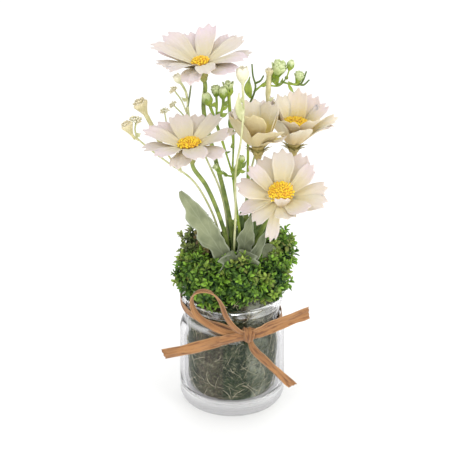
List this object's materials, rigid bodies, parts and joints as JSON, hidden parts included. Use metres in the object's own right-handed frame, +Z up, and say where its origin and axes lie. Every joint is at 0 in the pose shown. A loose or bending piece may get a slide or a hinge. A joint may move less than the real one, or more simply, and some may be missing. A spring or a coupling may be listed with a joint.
{
  "type": "chrysanthemums in a jar",
  "caption": "Small clear glass jar filled with moss, holding cut daisy chrysanthemums with sprays, silvery leaves and bushy foliage, tied round the neck with a raffia bow.",
  "frame": {"origin": "middle of the jar's foot, on the surface it stands on", "axes": "+Z up, -Y the front where the raffia is knotted, +X to the right seen from the front"},
  "size_m": [0.1391, 0.0997, 0.2534],
  "materials": {
    "glass": "clear and polished",
    "moss": "matte, matted fibres",
    "foliage": "satin, waxy",
    "dry_foliage": "satin, waxy",
    "petal": "matte, thin and finely veined",
    "disc": "matte, tufted",
    "stem": "satin",
    "green_spray": "satin",
    "pale_spray": "matte",
    "silver_leaf": "matte, felted",
    "narrow_leaf": "satin",
    "raffia": "matte, fibrous"
  },
  "bodies": {
    "root": {"jar": "glass", "moss_filling": "moss", "foliage_1": "foliage", "foliage_2": "foliage", "foliage_3": "foliage", "foliage_4": "foliage", "foliage_5": "dry_foliage", "foliage_6": "foliage", "foliage_7": "foliage", "daisy_1_petals": "petal", "daisy_1_disc": "disc", "daisy_1_stem": "stem", "daisy_2_petals": "petal", "daisy_2_disc": "disc", "daisy_2_stem": "stem", "daisy_3_petals": "petal", "daisy_3_disc": "disc", "daisy_3_stem": "stem", "daisy_4_petals": "petal", "daisy_4_disc": "disc", "daisy_4_stem": "stem", "daisy_5_petals": "petal", "daisy_5_disc": "disc", "daisy_5_stem": "stem", "green_spray_1": "green_spray", "green_spray_2": "green_spray", "pale_spray_1": "pale_spray", "pale_spray_2": "pale_spray", "pale_spray_3": "pale_spray", "pale_spray_4": "pale_spray", "silver_leaves": "silver_leaf", "narrow_leaves": "narrow_leaf", "raffia_tie": "raffia"}
  },
  "joints": []
}
